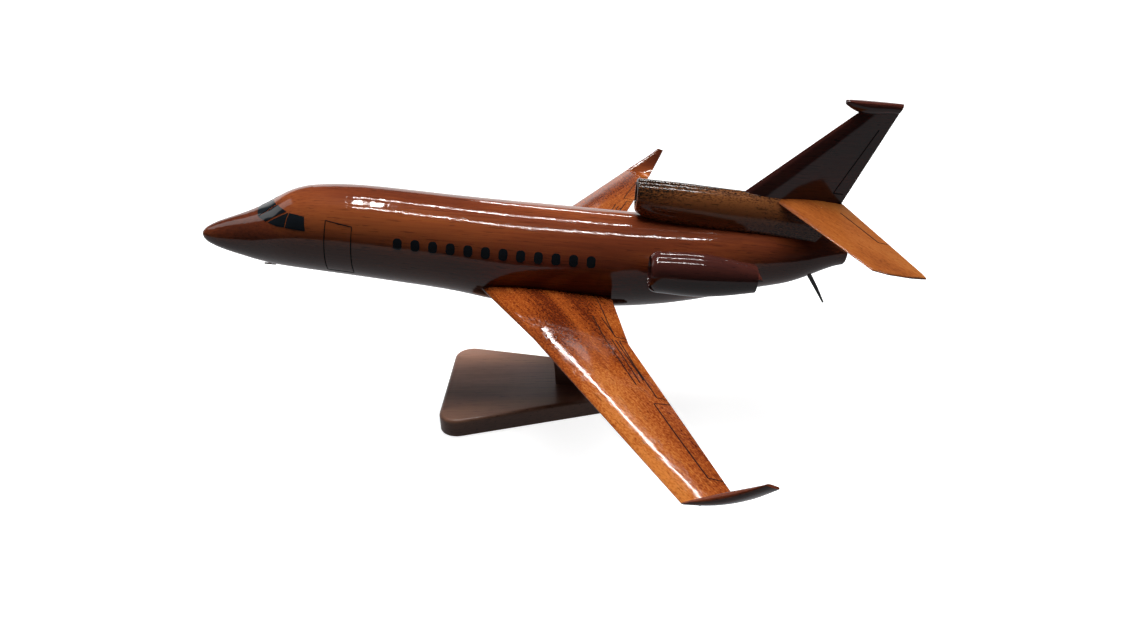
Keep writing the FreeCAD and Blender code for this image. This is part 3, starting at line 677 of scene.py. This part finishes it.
# %% [markdown]
# ## Floor and light
#
# The model stands on a plain pale floor that curves up into a plain pale wall. Gloss needs dark
# and light to mirror, so the room itself is dim, with a bright band low down behind the model.
# The cove is seen by the camera but sends no light back, as if it stood far away.


# %% Cove
COVE_DIM_WITHIN = 0.9
COVE_BRIGHT_BEYOND = 2.6


def make_cove():
    reach, bend, top = 6.0, 3.0, 9.0
    profile = [(0.0, 0.0), (reach, 0.0)]
    profile += [(reach + bend * math.sin(math.radians(a)), bend * (1 - math.cos(math.radians(a))))
                for a in range(10, 91, 10)]
    profile.append((reach + bend, top))
    around = 48
    build = bmesh.new()
    centre = build.verts.new((0, 0, 0))
    rings = []
    turn = [2 * math.pi * i / around for i in range(around)]
    for radius, height in profile[1:]:
        rings.append([build.verts.new((radius * math.cos(a), radius * math.sin(a), height))
                      for a in turn])
    for i in range(around):
        j = (i + 1) % around
        build.faces.new((centre, rings[0][i], rings[0][j]))
        for inner, outer in zip(rings, rings[1:]):
            build.faces.new((inner[i], outer[i], outer[j], inner[j]))
    mesh = bpy.data.meshes.new("cove")
    build.to_mesh(mesh)
    build.free()
    paint = Finish("cove_paint")
    drift = paint.noise(paint.coordinates(), (3.0, 3.0, 3.0))
    away = paint.node("ShaderNodeVectorMath", {"operation": "LENGTH"},
                      {0: paint.coordinates()}).outputs["Value"]
    far = paint.rise(away, COVE_DIM_WITHIN, COVE_BRIGHT_BEYOND)
    mesh.materials.append(paint.finish({
        "Base Color": paint.mix(drift, (0.50, 0.50, 0.50), (0.52, 0.52, 0.52)),
        "Roughness": 0.9,
        "Specular IOR Level": 0.0,
        "Emission Color": paint.mix(far, (0.88, 0.88, 0.88), (1.2, 1.2, 1.2)),
        "Emission Strength": 1.0,
    }))
    cove = bpy.data.objects.new("cove", mesh)
    bpy.context.scene.collection.objects.link(cove)
    cove.visible_diffuse = False
    cove.visible_glossy = False
    cove.visible_shadow = False
    return cove


cove = make_cove()
print("cove laid")


# %% World
WORLD_GLOW_BEHIND = 0.85
WORLD_GLOW_ELSEWHERE = 0.04
WORLD_BEHIND_FROM, WORLD_BEHIND_FULL = 0.25, 0.8
WORLD_LOW_FROM, WORLD_LOW_FULL = 0.36, 0.30


def make_world():
    world = bpy.data.worlds.new("studio")
    world.use_nodes = True
    tree = world.node_tree
    tree.nodes.clear()
    g = Graph(tree)
    aim = g.node("ShaderNodeTexCoord").outputs["Generated"]
    part = g.node("ShaderNodeSeparateXYZ", {}, {0: aim}).outputs
    behind = g.rise(part["Y"], WORLD_BEHIND_FROM, WORLD_BEHIND_FULL)
    low = g.rise(part["Z"], WORLD_LOW_FROM, WORLD_LOW_FULL)
    glow = behind * low * WORLD_GLOW_BEHIND + WORLD_GLOW_ELSEWHERE
    shade = g.node("ShaderNodeCombineColor", {}, {0: glow, 1: glow, 2: glow}).outputs[0]
    sky = g.node("ShaderNodeBackground", {}, {"Color": shade, "Strength": 1.0})
    g.node("ShaderNodeOutputWorld", {}, {"Surface": sky.outputs[0]})
    bpy.context.scene.world = world


make_world()
print("world made")

# %% [markdown]
# ## Lamps
#
# A wide soft panel overhead lights the wood; varnish would mirror it as a pale veil, so
# reflections don't see it. One soft panel stands behind the model and one beyond its nose, and a
# narrow strip draws the bright line just behind the near wing's leading edge.


# %% Area lamps
MODEL_MIDDLE = (0.0, 0.0, 0.11)
NEAR_WING = (0.05, -0.16, 0.09)


def facing(place, target, along):
    """The rotation that turns -Z from place to target, with X as near to along as can be."""
    z = (Vector(place) - Vector(target)).normalized()
    x = Vector(along)
    x = (x - z * x.dot(z)).normalized()
    return Matrix((x, z.cross(x), z)).transposed()


def lamp(name, place, target, size, glow, along=(1.0, 0.0, 0.0)):
    """An area lamp whose face shines glow watts per square metre and steradian."""
    light = bpy.data.lights.new(name, "AREA")
    light.shape = "RECTANGLE"
    light.size, light.size_y = size
    light.energy = glow * math.pi * size[0] * size[1]
    lit = bpy.data.objects.new(name, light)
    lit.location = place
    lit.rotation_euler = facing(place, target, along).to_euler()
    bpy.context.scene.collection.objects.link(lit)
    return lit


overhead = lamp("overhead_panel", (0.0, 0.25, 1.5), MODEL_MIDDLE, (1.4, 1.0), 8.4)
overhead.visible_glossy = False
lamp("patch_panel", (-0.3, 2.0, 0.98), MODEL_MIDDLE, (1.2, 0.20), 1.1)
lamp("nose_panel", (-1.6, 0.4, 1.3), MODEL_MIDDLE, (0.9, 0.7), 1.2)
edge = lamp("edge_strip", (0.22, 1.097, 0.859), NEAR_WING, (0.6, 0.014), 60.0,
            along=(0.459, -0.206, 0.057))
edge.visible_diffuse = False
print("four area lamps")

# %% [markdown]
# ## Things that only reflections see
#
# Two rows of small panes hang overhead, and the fuselage mirrors them along its crown. Two larger
# panes between them, above the nose, make the pair of patches behind the cockpit. A pale disc
# under the model stands for the table, and the lower sides mirror it.


# %% Panes and table
ROW_HEIGHT = 1.34
ROW_START = -0.30
ROW_PITCH = 0.038
ROW_COUNT = 23
ROWS = ((0.0, 0.41, 0.003, 0.034), (0.012, -0.24, 0.004, 0.030))
PANE_GROWTH = 0.006
LARGE_PANES = ((-0.27, 0.08, 0.018, 0.12), (-0.20, 0.06, 0.018, 0.12))
TABLE_RADIUS = 1.0
TABLE_HEIGHT = -0.004
TABLE_CORNERS = 48
BLACK = (0.0, 0.0, 0.0, 1.0)


def only_in_reflections(mesh, finish):
    """Places a glowing mesh that is mirrored, but lights nothing and isn't seen itself."""
    mesh.materials.append(finish)
    piece = bpy.data.objects.new(mesh.name, mesh)
    bpy.context.scene.collection.objects.link(piece)
    piece.visible_diffuse = False
    piece.visible_camera = False
    piece.visible_shadow = False
    return piece


def pane_places():
    """Centre X and Y, half length and half width of every pane."""
    panes = list(LARGE_PANES)
    for i in range(ROW_COUNT):
        x = ROW_START + ROW_PITCH * i
        uneven = 0.5 + 0.5 * math.sin(i * 2.4)
        for shift, y, shortest, half_wide in ROWS:
            panes.append((x + shift, y, shortest + PANE_GROWTH * uneven, half_wide))
    return panes


def make_lamp_rows():
    points, faces = [], []
    for x, y, half_long, half_wide in pane_places():
        faces.append([len(points) + k for k in (0, 3, 2, 1)])
        for along, across in ((-1, -1), (1, -1), (1, 1), (-1, 1)):
            points.append((x + along * half_long, y + across * half_wide, ROW_HEIGHT))
    mesh = bpy.data.meshes.new("lamp_rows")
    mesh.from_pydata(points, [], faces)
    paint = Finish("lamp_rows")
    flicker = paint.noise(paint.coordinates(), (30.0, 30.0, 30.0))
    rows = only_in_reflections(mesh, paint.finish({
        "Base Color": BLACK,
        "Roughness": 0.9,
        "Emission Color": paint.mix(flicker, (1.0, 1.0, 1.0), (0.8, 0.8, 0.8)),
        "Emission Strength": 95.0,
    }))


def make_table_glow():
    turn = [2 * math.pi * i / TABLE_CORNERS for i in range(TABLE_CORNERS)]
    rim = [(TABLE_RADIUS * math.cos(a), TABLE_RADIUS * math.sin(a), TABLE_HEIGHT) for a in turn]
    mesh = bpy.data.meshes.new("table_glow")
    mesh.from_pydata(rim, [], [list(range(TABLE_CORNERS))])
    paint = Finish("table_glow")
    drift = paint.noise(paint.coordinates(), (5.0, 5.0, 5.0))
    glow = only_in_reflections(mesh, paint.finish({
        "Base Color": BLACK,
        "Roughness": 0.9,
        "Specular IOR Level": 0.0,
        "Emission Color": paint.mix(drift, (0.36, 0.35, 0.36), (0.42, 0.41, 0.42)),
        "Emission Strength": 1.0,
    }))


make_lamp_rows()
make_table_glow()
bpy.context.scene.view_settings.view_transform = "Standard"
print(f"{len(pane_places())} panes and a table")
